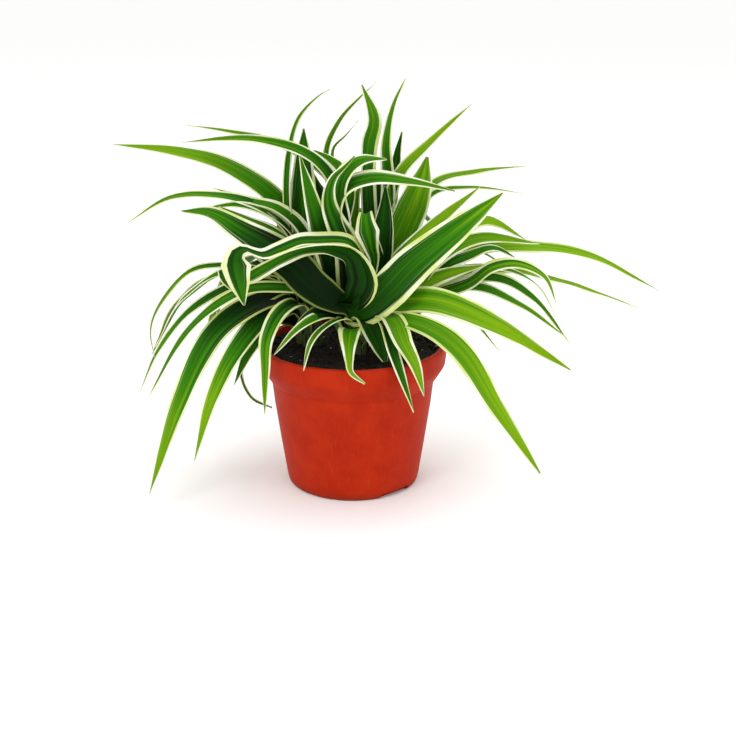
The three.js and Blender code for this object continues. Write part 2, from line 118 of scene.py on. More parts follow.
# Each leaf is (bearing, width, roll, stations, look), in degrees and mm. A station is (out from the
# crown, height, aside). A look is (tone, left margin, right margin), where the tone goes from -0.6,
# nearly black, to 1, yellow-green, and a margin is a share of half the width. The tone is partly the
# leaf's own green and partly painted light and shade: the low tones at the bases and on the leaves
# inside the plant are painted shade, and the highest are partly painted light. A list of widths, rolls,
# tones or margins is spaced evenly along the leaf.
LEAVES = {
    "front": [
        # Two broad leaves rising to the right
        (-10, (4, 6, 14, 22, 25, 24, 21, 17, 11, 1), (70, 75, 70, 65, 65, 65),
         [(-5, 117, -12), (5, 116, -14), (14, 122, -14), (24, 132, -12), (36, 145, -8),
          (51, 158, -6), (73, 176, -3), (88, 188)],
         ((-0.15, -0.10, 0.05, 0.15, 0.25, 0.45), (0, 0, 0, 0, 0, 0.20, 0.20, 0.20, 0.20, 0.20, 0.20),
          (0.30, 0.26, 0.20, 0.18))),
        (15, 15, 35, [(26, 136), (45, 157), (80, 185)], (0.75, 0.16, 0.16)),
        # Two that curl over themselves and then run to the left
        (195, (8, 8, 8, 8, 9, 9, 9, 9, 9, 9, 9, 8, 18, 12, 1),
         (-40, -40, -40, -40, -40, -40, -40, -40, -42, -40, -25, -20, -80, -95, -90),
         [(-5, 130, 3), (-4, 145, 5), (4, 158, 8), (25, 161, 10), (34, 161, 10), (46, 157, 10),
          (56, 154, 11), (62, 156, 12), (67, 158, 12), (71, 156, 12), (72, 148, 12), (70, 136, 11),
          (68, 125, 11)],
         ((0.25, 0.25, 0.25, 0.25, 0.10, -0.20, 0.00), 0.30, (0.50, 0.50, 0.50, 0.45, 0.26))),
        (200, (5, 6, 8, 13, 19, 20, 18, 15, 14, 14, 13, 11, 8, 1),
         (-110, -115, -118, -122, -140, -165, -175, -172, -165, -150, -140, -120),
         [(8, 121, 10), (5, 125, 16), (3, 131, 21), (1, 137, 22), (2, 144, 22), (4, 150, 21), (8, 155, 18),
          (14, 157, 16), (23, 158, 13), (35, 156, 8), (47, 151, 5),
          (56, 146, 3), (66, 141, 0), (75, 144, -2), (80, 144, -3), (79, 139, -1), (75, 134, 1)],
         # Its lower part is dark and its cream begins only partway along: painted shade inside the curl
         ((-0.28, -0.28, -0.20, 0.05, 0.15, 0.20), (0, 0, 0, 0, 0.05, 0.25, 0.30, 0.30, 0.30),
          (0, 0, 0, 0.27, 0.27, 0.27, 0.27, 0.27, 0.27))),
        # Three to the left, behind and inside the curl
        (178, (4, 5, 11, 20, 23, 23, 19, 14, 8, 1), -60,
         [(1, 118, 12), (9, 123, 13), (17, 128, 13), (25, 134, 12), (35, 144, 9), (67, 163),
          (84, 173), (101, 174)],
         ((-0.60, -0.60, -0.60, -0.55, -0.35, 0.15, 0.25), (0.09, 0.09, 0.12, 0.20, 0.25),
          (0.09, 0.09, 0.12, 0.20, 0.25))),
        (190, 10, -25, [(23, 123), (49, 130), (70, 127), (98, 107), (124, 67)], (0.30, 0.24, 0.24)),
        (170, 7, -35, [(6, 126), (14, 143)], (0.70, 0.30, 0.30)),
        # Five that hang over the front of the pot, from the left to the right
        (235, 8, 0, [(13, 111, 4), (27, 110), (42, 104), (50, 89)], (0.25, 0.28, 0.28)),
        (270, (8, 10, 13, 15, 15, 12, 8, 5, 3, 1), 0,
         [(12, 104, 1), (22, 107, -1), (34, 103, -2), (43, 96, -2), (47, 90, -1), (50, 84, 7)],
         (0.55, 0.24, 0.36)),
        (285, (8, 12, 15, 17, 19, 20, 18, 13, 4), 0, [(16, 110, 4), (30, 102, 6), (38, 92, 9)],
         (-0.40, 0.10, 0.20)),
        (310, 16, 0, [(24, 113, 7), (45, 102, 1), (56, 92), (64, 76)], (0.60, 0.24, 0.26)),
        (300, 11, 0, [(20, 109, 9), (43, 97, 2), (53, 85, 2), (60, 66, 6)], (0.05, 0.20, 0.26)),
        # Two long ones that fall to the lower right
        (-30, (5, 6, 10, 13, 15, 15, 13, 10, 6, 1), 35,
         [(22, 108, 6), (40, 112), (59, 107), (75, 96), (94, 71), (125, 33)], (0.75, 0.16, 0.20)),
        (-18, (12, 15, 18, 18, 18, 17, 15, 12, 8, 5, 1), 60,
         [(19, 118, 4), (31, 120, 5), (54, 123), (91, 111), (133, 89)], (0.80, 0.14, 0.18)),
        # Two short ones to the front left
        (205, 14, -30, [(14, 114, 3), (30, 114, 5), (44, 103, 6)], (-0.50, 0.10, 0.10)),
        (220, 10, -10, [(20, 113), (41, 110), (56, 96, -5)], (0.45, 0.22, 0.22)),
        # Upright ones in the middle, whose tips bend back or over
        (90, (4, 4, 4, 4, 4, 4, 6, 10, 16, 9, 2), 0,
         [(-2, 144, -13), (-4, 154, -11), (-5, 163, -9), (-5, 170, -8), (-3, 173, -8), (1, 172, -8),
          (4, 168, -8)],
         (0.05, 0.30, 0.28)),
        (60, (6, 9, 12, 15, 17, 17, 14, 8, 1), 35,
         [(12, 140, -10), (14, 158, -12), (16, 172, -13), (17, 188, -13)], (-0.35, 0.06, 0.08)),
        (20, 8, 20, [(18, 128), (20, 142), (16, 158)], (0.50, 0.30, 0.30)),
        (165, (8, 12, 16, 19, 19, 17, 12, 7, 1), -50,
         [(14, 150, 5), (18, 164, 8), (21, 178, 11), (23, 189, 13), (25, 198, 14), (27, 208, 15)],
         ((-0.60, -0.60, -0.25, 0.10, 0.15), 0.20, 0.22)),
        (150, (10, 14, 18, 20, 19, 15, 10, 6, 1), -30,
         [(3, 153, 3), (8, 168, 7), (11, 179, 9), (10, 189, 10), (7, 196, 9), (1, 202, 7), (-4, 208, 4)],
         ((-0.60, -0.60, -0.25, 0.10, 0.15), 0.26, 0.22)),
        (5, (4, 4, 5, 6, 9, 13, 14, 12, 9, 5, 1), 35,
         [(-1, 151, 5), (-8, 174, 4), (-4, 187, 2), (11, 193), (34, 191), (61, 185)],
         ((-0.60, -0.60, 0.00, 0.25, 0.30), 0.26, 0.26)),
        (15, (4, 4, 5, 6, 8, 12, 13, 9, 1), 35,
         [(-1, 160, 5), (-6, 186, 4), (-2, 198, 2), (6, 204), (21, 204)],
         ((-0.60, -0.60, 0.00, 0.25), 0.24, 0.24)),
    ],
    "left": [
        # Seven that arch over and hang to the left, with a thin one that arches highest
        (213, 17, -30, [(11, 115), (36, 118), (66, 103), (90, 66), (113, 12)],
         ((-0.60, -0.40, 0.25, 0.55, 0.60), 0.16, 0.16)),
        (225, 15, -20, [(10, 115), (36, 111), (60, 94), (78, 71), (94, 35)],
         ((-0.60, -0.40, 0.25, 0.70, 0.75), 0.16, 0.16)),
        (248, 11, -20, [(25, 119, 4), (42, 118), (57, 105, -2), (64, 88), (66, 62)],
         ((-0.50, -0.20, 0.40, 0.45), 0.26, 0.26)),
        (215, 12, -25, [(14, 111), (28, 105), (43, 90), (55, 70)], (0.10, 0.16, 0.16)),
        (140, (7, 8, 9, 9, 9, 9, 9, 8, 7, 5, 2), -70,
         [(16, 112), (40, 88), (56, 57, 4), (49, 41, 3), (34, 36)], (-0.15, 0.14, 0.20)),
        (192, 9, -30, [(15, 122), (42, 127), (73, 112), (93, 89), (106, 63)],
         ((-0.60, -0.50, 0.05, 0.35, 0.35), 0.28, 0.28)),
        (205, 5, -40, [(12, 126), (35, 138), (58, 143), (76, 141), (95, 123), (101, 109), (100, 91)],
         ((-0.60, -0.30, 0.50, 0.50), 0.34, 0.34)),
        (200, 16, -50, [(6, 101), (15, 106), (26, 105), (35, 96)], (-0.55, 0.10, 0.10)),
        # Two tall upright ones
        (45, 7, 10, [(-6, 146, 8), (-8, 183, 9), (-6, 208, 8), (-1, 226, 5), (9, 238, -1), (16, 242, -4)],
         ((-0.60, -0.30, 0.10, 0.25, 0.30), 0.26, 0.30)),
        (80, (9, 12, 15, 17, 18, 18, 16, 11, 1), 20, [(3, 146, 4), (6, 182, 4), (7, 219, 3)],
         (-0.10, 0.14, 0.20)),
        # A broad one that crosses in front of them, and a short blunt one behind it
        (185, 10, -50,
         [(-12, 153, 2), (-16, 173, 3), (-15, 188, 5), (-6, 201, 8), (6, 209, 9), (22, 214, 10),
          (39, 216, 8), (74, 213, 2)],
         ((-0.60, -0.50, 0.10, 0.40, 0.45), 0.20, 0.20)),
        (150, (8, 9, 10, 10, 10, 10, 9, 7, 1), -60,
         [(-20, 168, -9), (-21, 183, -13), (-17, 194, -13), (-9, 201, -11), (0, 206, -8)],
         ((-0.60, -0.50, 0.00, 0.10), 0.30, 0.14)),
        # Five that rise to the upper left
        (182, 11, -30, [(6, 151), (27, 172), (55, 180), (82, 179), (110, 163)],
         ((-0.60, -0.45, 0.40, 0.45), 0.24, 0.24)),
        (188, 10, -35, [(6, 145), (20, 166), (41, 175), (70, 172)],
         ((-0.60, -0.50, 0.30, 0.40), 0.28, 0.28)),
        (193, 14, -60, [(7, 139), (20, 156), (38, 167), (54, 176)],
         ((-0.60, -0.55, 0.20, 0.25), 0.22, 0.26)),
        (172, 12, -35, [(2, 156, 2), (17, 172, 4), (35, 177, 4), (57, 184, 4)],
         ((-0.60, -0.55, 0.25, 0.30), 0.26, 0.40)),
        (178, 10, -25, [(4, 149), (23, 170), (41, 177), (65, 182)],
         ((-0.60, -0.50, 0.35, 0.45), 0.28, 0.28)),
    ],
    "back": [
        # Two long ones to the upper left
        (188, 15, -55, [(22, 143), (38, 164), (56, 183), (80, 198), (107, 206), (143, 211)],
         ((-0.60, -0.20, 0.38, 0.60, 0.80), 0.10, 0.14)),
        (187, 10, -35, [(8, 174), (25, 196), (51, 211), (76, 217), (99, 221)],
         ((-0.60, -0.30, 0.30, 0.45), 0.22, 0.22)),
        # Six upright ones, which make the top of the plant
        (90, (10, 12, 13, 13, 13, 12, 12, 14, 10, 1), 30,
         [(1, 142, -10), (2, 186, -9), (3, 208, -10), (4, 222, -13), (4, 243, -6)],
         ((-0.60, -0.50, -0.10, 0.25, 0.40), 0.16, 0.30)),
        (340, 15, 70, [(18, 136, 2), (24, 178, 3), (23, 210), (27, 232), (33, 248, 3)],
         ((-0.60, -0.50, -0.10, 0.20, 0.35), 0.22, 0.40)),
        (30, (7, 7, 7, 7, 7, 7, 7, 6, 1), 40, [(24, 153, -4), (28, 191, -6), (29, 203, -7), (31, 214, -8)],
         (-0.20, 0.10, 0.14)),
        (345, 12, 60, [(20, 159), (31, 191), (49, 211), (73, 234)],
         ((-0.50, 0.20, 0.75, 0.80), 0.20, 0.20)),
        (90, 6, 20, [(4, 176, 13), (8, 203, 16), (10, 222, 7), (10, 234, -4), (10, 244, -15)],
         (0.40, 0.24, 0.24)),
        (90, 5, 20, [(12, 175, 8), (16, 202, 12), (16, 211, 4), (16, 220, -4)], (0.50, 0.24, 0.24)),
        # Three that fill the middle, behind, dark as painted shade inside the plant
        (150, (8, 14, 20, 22, 22, 20, 14, 1), -60, [(13, 135, 5), (21, 162, 1), (28, 177), (31, 192)],
         (-0.45, 0.06, 0.06)),
        (90, (8, 12, 16, 20, 20, 18, 12, 1), 0,
         [(8, 133, -15), (14, 161, -16), (16, 177, -18), (16, 190, -19)],
         (-0.45, 0.06, 0.06)),
        (165, (8, 12, 16, 18, 18, 15, 10, 1), -60,
         [(22, 120, 3), (33, 137, 5), (43, 153, 3), (48, 168, 3)],
         (-0.45, 0.06, 0.06)),
        # Three to the upper right
        (-15, (7, 12, 15, 18, 20, 22, 21, 15, 2), 95,
         [(6, 108), (21, 136, -1), (31, 154, -2), (39, 173, -2), (44, 188, -1), (47, 202)],
         ((-0.60, -0.10, 0.52, 0.52, 0.42), 0.08, 0.14)),
        (12, 7, 25, [(31, 140), (51, 174), (74, 178), (111, 173)], (0.50, 0.26, 0.26)),
        (18, 10, 25, [(33, 149), (54, 180), (82, 186), (117, 188)], (0.45, 0.24, 0.24)),
    ],
    "right": [
        # Eleven that arch over to the right
        (14, 12, 30, [(18, 131), (48, 143), (94, 142), (130, 134), (161, 118), (179, 108)],
         (0.85, 0.20, 0.20)),
        (5, 13, 55, [(14, 126), (31, 144), (53, 152), (89, 148)], (0.55, 0.16, 0.22)),
        (14, 13, 60, [(18, 138), (41, 156), (58, 161), (84, 148)], (0.90, 0.10, 0.24)),
        (0, 11, 45, [(21, 130), (44, 142), (59, 147), (75, 140)], (0.10, 0.20, 0.22)),
        (-10, 13, 35, [(21, 115), (46, 127), (59, 137), (74, 140), (90, 133), (98, 117)],
         (0.45, 0.34, 0.22)),
        (-12, 14, 55, [(7, 117), (21, 127), (37, 134), (54, 139)], (0.65, 0.18, 0.36)),
        (-4, 10, 25, [(22, 118), (50, 123), (77, 112), (106, 92)], (0.40, 0.26, 0.26)),
        (6, 11, 30, [(27, 122), (62, 126), (85, 114), (112, 82)], (0.15, 0.24, 0.24)),
        (10, 7, 20, [(34, 126), (70, 130), (92, 118), (104, 99)], (0.45, 0.26, 0.26)),
        (20, 10, 25, [(23, 124), (71, 127), (119, 114), (175, 92)], (0.80, 0.20, 0.20)),
        (22, 8, 35, [(20, 112), (48, 99), (74, 72)], (0.35, 0.24, 0.24)),
    ],
}

# Leaves of the far side, spread by rule: (count, bearings, reach, rise, drop)
SPREADS = {
    "left": [(6, (118, 172), (75, 115), (36, 58), (40, 90))],
    "back": [
        (7, (42, 146), (70, 105), (55, 78), (40, 100)),
        (4, (40, 150), (12, 34), (70, 108), (0, 4)),
    ],
    "right": [(5, (36, 66), (75, 115), (40, 62), (0, 30))],
}
SEED = 4177
LOOK_SEED = 58
RANDOM_FACTOR = 16807
RANDOM_PRIME = 2147483647

# What is drawn for each of them: SPREAD_MARGIN is the share of its sector that stays free at both sides.
# Its base and its lower part are darker than the rest, as painted shade inside the plant.
SPREAD_MARGIN = 0.2
SPREAD_WIDTHS = (9, 16)
SPREAD_ROLLS = (-20, 20)
SPREAD_TONES = (0.1, 0.8)
SPREAD_CREAM = (0.16, 0.28)
PAINTED_SHADE_BASE_TONE = -0.6
PAINTED_SHADE_LOWER_TONE = -0.3

# How they arch, as shares of their reach and of their rise or drop
ARCH_RISE = (0.16, 0.62)
ARCH_TOP = 0.45
ARCH_FALL = (0.78, 0.35)

# Lights as (name, place, target, size, power), and the camera, in metres, watts and degrees
LIGHTS = [
    ("key", (-0.7, -1.1, 1.3), (0, 0, 0.12), 0.7, 7),
    ("fill", (1.1, -0.9, 0.7), (0, 0, 0.1), 1.0, 2),
    ("top", (0.2, 0.6, 1.5), (0, 0, 0.1), 1.0, 6),
]
SKY_STRENGTH = 1.0
FLOOR_SIZE = 40
CAMERA_PLACE = (0, -0.74934, 0.32467)
CAMERA_DOWN = 18.6
CAMERA_TURN = -0.725
FAR_CLIP = 60
LENS = 61.9
SENSOR = 36


# Helpers

def lerp(least, most, share):
    return least + (most - least) * share


def smoothstep(low, high, x):
    share = np.clip((x - low) / (high - low), 0, 1)
    return share * share * (3 - 2 * share)


def seeded_random(seed):
    """The same numbers from 0 to 1 as the part's source draws"""
    state = seed
    while True:
        state = state * RANDOM_FACTOR % RANDOM_PRIME
        yield state / RANDOM_PRIME


def select_only(*pieces):
    bpy.ops.object.select_all(action="DESELECT")
    for piece in pieces:
        piece.select_set(True)
    bpy.context.view_layer.objects.active = pieces[0]


def added(operator, **settings):
    """The piece that an add operator makes, selected alone"""
    bpy.ops.object.select_all(action="DESELECT")
    operator(**settings)
    return bpy.context.object


def copy_of(piece):
    """A copy with its own mesh"""
    copy = piece.copy()
    copy.data = piece.data.copy()
    bpy.context.collection.objects.link(copy)
    return copy


def joined(pieces):
    select_only(*pieces)
    bpy.ops.object.join()
    return pieces[0]


def points_of(piece):
    points = np.empty(len(piece.data.vertices) * 3)
    piece.data.vertices.foreach_get("co", points)
    return points.reshape(-1, 3)


def move_points(piece, points):
    piece.data.vertices.foreach_set("co", points.ravel())
    piece.data.update()


def settle(piece):
    """Puts a piece's place in its mesh"""
    select_only(piece)
    bpy.ops.object.transform_apply(location=True, rotation=True, scale=True)


def smooth(piece, crease=None):
    """Smooth shading, with sharp edges where faces meet at more than crease degrees"""
    select_only(piece)
    if crease is None:
        bpy.ops.object.shade_smooth()
    else:
        bpy.ops.object.shade_smooth_by_angle(angle=math.radians(crease))


def apply_modifier(piece, kind, **settings):
    select_only(piece)
    modifier = piece.modifiers.new(kind.title(), kind)
    for name, value in settings.items():
        setattr(modifier, name, value)
    bpy.ops.object.modifier_apply(modifier=modifier.name)


def finish_piece(piece, name, material, node):
    piece.name = name
    piece.data.name = name
    piece.data.materials.clear()
    piece.data.materials.append(material)
    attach(piece, "root")
    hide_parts(node)


def turned(profile, sides):
    """A turned solid from [radius, height] rings, extruded and scaled ring by ring"""
    radius, height = profile[0]
    place = (0, 0, height * MM)
    circle = bpy.ops.mesh.primitive_circle_add
    piece = added(circle, vertices=sides, radius=radius * MM, fill_type="NGON", location=place)
    settle(piece)
    bpy.ops.object.mode_set(mode="EDIT")
    bpy.ops.mesh.select_all(action="SELECT")
    for before, after in zip(profile, profile[1:]):
        rise = (after[1] - before[1]) * MM
        spread = after[0] / before[0]
        bpy.ops.mesh.extrude_region_move(TRANSFORM_OT_translate={"value": (0, 0, rise)})
        bpy.ops.transform.resize(value=(spread, spread, 1), center_override=(0, 0, after[1] * MM))
    bpy.ops.mesh.select_all(action="SELECT")
    bpy.ops.mesh.normals_make_consistent(inside=False)
    bpy.ops.object.mode_set(mode="OBJECT")
    return piece


# Materials

class Value:
    """A shader socket on which an operator adds a Math node"""

    def __init__(self, finish, socket):
        self.finish = finish
        self.socket = socket

    def maths(self, operation, *values):
        return self.finish.node("ShaderNodeMath", {"operation": operation}, dict(enumerate(values)))

    def __add__(self, other):
        return self.maths("ADD", self, other)

    def __radd__(self, other):
        return self.maths("ADD", other, self)

    def __sub__(self, other):
        return self.maths("SUBTRACT", self, other)

    def __rsub__(self, other):
        return self.maths("SUBTRACT", other, self)

    def __mul__(self, other):
        return self.maths("MULTIPLY", self, other)

    def __rmul__(self, other):
        return self.maths("MULTIPLY", other, self)

    def __gt__(self, other):
        return self.maths("GREATER_THAN", self, other)

    def __abs__(self):
        return self.maths("ABSOLUTE", self)

    def rise(self, low, high):
        """0 under low, 1 over high, and smooth between"""
        settings = {"interpolation_type": "SMOOTHSTEP"}
        inputs = {"Value": self, "From Min": low, "From Max": high}
        return self.finish.node("ShaderNodeMapRange", settings, inputs)

    def fall(self, low, high):
        """1 under low, 0 over high, and smooth between"""
        return 1.0 - self.rise(low, high)


class Finish:
    """A material whose nodes are made by expressions"""

    def __init__(self, name, gloss):
        self.material = bpy.data.materials.new(name)
        self.material.use_nodes = True
        self.tree = self.material.node_tree
        self.shader = self.tree.nodes["Principled BSDF"]
        self.feed("Specular IOR Level", gloss)

    def plug(self, socket, value):
        if isinstance(value, Value):
            self.tree.links.new(value.socket, socket)
        else:
            socket.default_value = value

    def feed(self, socket, value):
        self.plug(self.shader.inputs[socket], value)

    def node(self, kind, settings=None, inputs=None, output=0):
        made = self.tree.nodes.new(kind)
        for name, value in (settings or {}).items():
            setattr(made, name, value)
        for name, value in (inputs or {}).items():
            self.plug(made.inputs[name], value)
        return Value(self, made.outputs[output])

    def colour(self, value):
        return value if isinstance(value, Value) else (*value, 1)

    def mix(self, share, one, other):
        inputs = {0: share, 6: self.colour(one), 7: self.colour(other)}
        return self.node("ShaderNodeMix", {"data_type": "RGBA"}, inputs, 2)

    def vector(self, x, y):
        return self.node("ShaderNodeCombineXYZ", None, {0: x, 1: y})

    def split(self, vector):
        """The three values of a vector"""
        first = self.node("ShaderNodeSeparateXYZ", None, {0: vector})
        return [Value(self, socket) for socket in first.socket.node.outputs]

    def stretched(self, vector, factors):
        return self.node("ShaderNodeVectorMath", {"operation": "MULTIPLY"}, {0: vector, 1: factors})

    def noise(self, vector, scale=1.0, detail=2.0, roughness=0.5):
        inputs = {"Vector": vector, "Scale": scale, "Detail": detail, "Roughness": roughness}
        return self.node("ShaderNodeTexNoise", None, inputs)

    def place(self):
        return self.node("ShaderNodeTexCoord", None, None, "Object")

    def attribute(self, name, output="Fac"):
        return self.node("ShaderNodeAttribute", {"attribute_name": name}, None, output)

    def bump(self, height, distance, strength=1.0):
        inputs = {"Height": height, "Distance": distance, "Strength": strength}
        self.feed("Normal", self.node("ShaderNodeBump", None, inputs))


# Blade greens: the two darkest are painted shade, the third its own green, the fourth partly painted light
PAINTED_DARK_SHADE_GREEN = (0.002, 0.012, 0.001)
PAINTED_SHADE_GREEN = (0.008, 0.060, 0.001)
LEAF_GREEN = (0.032, 0.180, 0.002)
FRESH_AND_LIT_GREEN = (0.200, 0.395, 0.005)
UNDERSIDE_GREEN = (0.240, 0.420, 0.140)
CREAM = (0.900, 0.920, 0.750)
# Cream in painted shade, for the darkest leaves
SHADED_CREAM = (0.150, 0.200, 0.045)
BUTTER = (0.640, 0.700, 0.200)
# Partly the young part's own yellow and partly painted shade with green bounce light
YOUNG_AND_SHADED_YELLOW = (0.560, 0.640, 0.180)
# Partly the sheath's own colour and partly painted shade inside the plant
LEAF_FOOT_AND_SHADE = (0.060, 0.095, 0.025)
DRY_TIP = (0.420, 0.270, 0.090)
SHEATH_FOOT = (0.100, 0.090, 0.040)
SHEATH_GREEN = (0.060, 0.110, 0.025)
SHEATH_STRIPE = (0.015, 0.040, 0.006)
POT_RED = (0.370, 0.016, 0.002)
POT_MOTTLE = (0.450, 0.024, 0.004)
POT_DRAWN = (0.560, 0.080, 0.018)
POT_FOOT = (0.160, 0.030, 0.014)
POT_SCUFF = (0.660, 0.200, 0.120)
DARK_PEAT = (0.008, 0.006, 0.005)
LIGHT_PEAT = (0.040, 0.026, 0.016)
FIBRE = (0.160, 0.085, 0.035)
SHADED_PERLITE = (0.300, 0.270, 0.220)
LIGHT_PERLITE = (0.620, 0.600, 0.540)
FLOOR_WHITE = (0.980, 0.980, 0.975)

# Scales of the blade's patterns, as (across, along)
SHEEN_BAND_SCALE = (5.0, 0.8)
STREAK_SCALE = (26.0, 1.3)
PATCH_SCALE = (3.0, 7.0)
VEIN_SCALE = (6.0, 0.2)
DRIFT_SCALE = 5.0
SEED_SCALE = 40.0

# The cream margin's inner border and the streaks beside it, in shares of half the blade's width
THIN_MARGIN = 0.06
BORDER_WANDER = 0.10
BORDER_BLUR = (-0.025, 0.035)
STREAK_SPAN = (0.56, 0.66)
STREAK_REACH = (0.05, 0.30)
STREAK_SHARE = 0.55

# What makes a blade lighter: its own streaks, painted sheen, and painted shade towards its foot; and the
# lightness over which each green takes over, from painted shade to a green that is partly painted light
LIGHT_STREAKS = 0.75
PAINTED_RIB_SHEEN = 0.22
PAINTED_SHADE_LIFT_TO_TIP = 0.8
PAINTED_SHADE_AT_FOOT = -0.48
GREENS = [((-0.45, 0.05), PAINTED_SHADE_GREEN), ((0.0, 0.55), LEAF_GREEN), ((0.45, 1.15), FRESH_AND_LIT_GREEN)]

# Where along a leaf its foot, its young part and its dry tip pass into the rest, and the tones between
# which its cream stops being darkened as painted shade
FOOT_AND_SHADE_SPAN = (0.02, 0.22)
YOUNG_AND_SHADED_SPAN = (0.25, 0.7)
TIP_SPAN = (0.980, 1.0)
PAINTED_SHADE_TONES = (-0.6, -0.2)


def leaf_finish():
    """Green blade with cream margins, fine veins along it and a dry tip; U goes across and V along"""
    leaf = Finish("leaf", gloss=0.06)
    across, along, _ = leaf.split(leaf.node("ShaderNodeUVMap", {"uv_map": "UVMap"}))
    tone, left_margin, right_margin = leaf.split(leaf.attribute("leaf_look", "Vector"))
    seed = leaf.attribute("leaf_seed") * SEED_SCALE
    under = leaf.attribute("underside")
    from_edge = 1.0 - abs(across * 2.0 - 1.0)
    margin = left_margin + (across > 0.5) * (right_margin - left_margin)
    has_margin = margin.rise(0.0, THIN_MARGIN)
    # The margin's inner border wanders a little along the leaf, with a few thin streaks beside it
    drift = leaf.noise(leaf.vector(seed, along * DRIFT_SCALE)) - 0.5
    place = leaf.vector(across * STREAK_SCALE[0] + seed, along * STREAK_SCALE[1] + seed)
    streaks = leaf.noise(place, detail=3.0, roughness=0.6)
    border = margin + (drift + streaks - 0.5) * BORDER_WANDER * has_margin
    cream = (from_edge - border).fall(*BORDER_BLUR) * has_margin
    beside = (from_edge - margin).fall(*STREAK_REACH) * streaks.rise(*STREAK_SPAN) * has_margin
    # Green, lighter down the middle and in broad bands of painted sheen, and in the leaf's own streaks
    place = leaf.vector(across * SHEEN_BAND_SCALE[0] + seed, along * SHEEN_BAND_SCALE[1] + seed)
    sheen_bands = leaf.noise(place, detail=1.0)
    light = tone + (sheen_bands - 0.5) + (streaks - 0.5) * LIGHT_STREAKS
    # Painted shade: darker towards the foot and lighter towards the tip
    light = light + from_edge * PAINTED_RIB_SHEEN + along * PAINTED_SHADE_LIFT_TO_TIP + PAINTED_SHADE_AT_FOOT
    # From painted shade, through the leaf's own green, to a green that is partly painted light
    green = PAINTED_DARK_SHADE_GREEN
    for span, lighter_green in GREENS:
        green = leaf.mix(light.rise(*span), green, lighter_green)
    # Cream with buttery patches, yellower near the foot partly by its own colour and partly as painted
    # shade, and darkened on the darkest leaves as painted shade
    patches = leaf.noise(leaf.vector(along * PATCH_SCALE[1] + seed, across * PATCH_SCALE[0]))
    pale = leaf.mix(patches.rise(0.35, 0.7), CREAM, BUTTER)
    pale = leaf.mix(along.rise(*YOUNG_AND_SHADED_SPAN), YOUNG_AND_SHADED_YELLOW, pale)
    pale = leaf.mix(tone.rise(*PAINTED_SHADE_TONES), SHADED_CREAM, pale)
    colour = leaf.mix(beside * STREAK_SHARE, green, pale)
    colour = leaf.mix(cream, colour, pale)
    # Darker at the foot, partly the sheath's own colour and partly painted shade; paler on the underside,
    # brown at the very tip
    colour = leaf.mix(along.fall(*FOOT_AND_SHADE_SPAN) * 0.7, colour, LEAF_FOOT_AND_SHADE)
    colour = leaf.mix(under * (1.0 - cream) * 0.30, colour, UNDERSIDE_GREEN)
    tip = (along + drift * 0.02).rise(*TIP_SPAN) * (tone * 0.3 + 0.3)
    colour = leaf.mix(tip, colour, DRY_TIP)
    leaf.feed("Base Color", colour)
    leaf.feed("Roughness", 0.36 + streaks * 0.14 + under * 0.16 + cream * 0.08)
    place = leaf.vector(across * VEIN_SCALE[0] + drift * 0.3, along * VEIN_SCALE[1])
    bands = {"wave_type": "BANDS", "bands_direction": "X"}
    veins = leaf.node("ShaderNodeTexWave", bands, {"Vector": place, "Scale": 1.0, "Distortion": 0.3})
    leaf.bump(veins * 0.6 + streaks * 0.8, distance=0.00025, strength=0.7)
    return leaf.material


def crown_finish():
    """Leaf sheaths, brownish where they leave the soil, with dark lengthwise stripes"""
    crown = Finish("leaf_sheath", gloss=0.12)
    place = crown.place()
    height = crown.split(place)[2] * (1 / MM)
    stripes = crown.noise(crown.stretched(place, (900, 900, 60)))
    colour = crown.mix(height.rise(82.0, 96.0), SHEATH_FOOT, SHEATH_GREEN)
    colour = crown.mix(stripes.rise(0.4, 0.65), colour, SHEATH_STRIPE)
    crown.feed("Base Color", colour)
    crown.feed("Roughness", 0.45 + stripes * 0.2)
    crown.bump(stripes, distance=0.0004)
    return crown.material


def pot_finish():
    """Satin moulded plastic with faint mottling, drawn marks, a darker foot and scuffs"""
    pot = Finish("pot_plastic", gloss=0.06)
    place = pot.place()
    height = pot.split(place)[2] * (1 / MM)
    mottle = pot.noise(place, scale=60.0, detail=4.0, roughness=0.6)
    grain = pot.noise(place, scale=900.0, detail=3.0, roughness=0.6)
    drawn = pot.noise(pot.stretched(place, (700, 700, 18)), detail=3.0)
    colour = pot.mix(mottle.rise(0.3, 0.7), POT_RED, POT_MOTTLE)
    colour = pot.mix(drawn.rise(0.55, 0.8) * 0.20, colour, POT_DRAWN)
    # Darker within 7 mm of the bottom
    colour = pot.mix(height.fall(0.0, 7.0) * 0.45, colour, POT_FOOT)
    colour = pot.mix(grain.rise(0.62, 0.78) * 0.12, colour, POT_SCUFF)
    pot.feed("Base Color", colour)
    pot.feed("Roughness", 0.40 + mottle * 0.14 + drawn * 0.10)
    pot.bump(grain * 0.5 + mottle * 1.5 + drawn * 0.4, distance=0.00012, strength=0.8)
    return pot.material


def peat_finish(name, dark, light):
    """Crumbly ground with a few brown fibres, damp in places"""
    peat = Finish(name, gloss=0.25)
    place = peat.place()
    crumbs = peat.noise(place, scale=420.0, detail=6.0, roughness=0.7)
    damp = peat.noise(place, scale=60.0)
    colour = peat.mix(crumbs.rise(0.35, 0.75), dark, light)
    colour = peat.mix(crumbs.rise(0.70, 0.78) * 0.5, colour, FIBRE)
    peat.feed("Base Color", colour)
    peat.feed("Roughness", 0.75 + damp * 0.3)
    peat.bump(crumbs, distance=0.0016)
    return peat.material


LEAF = leaf_finish()
SHEATHS = crown_finish()
PLASTIC = pot_finish()
PEAT = peat_finish("peat", DARK_PEAT, LIGHT_PEAT)
PERLITE = peat_finish("perlite", SHADED_PERLITE, LIGHT_PERLITE)


# Pot

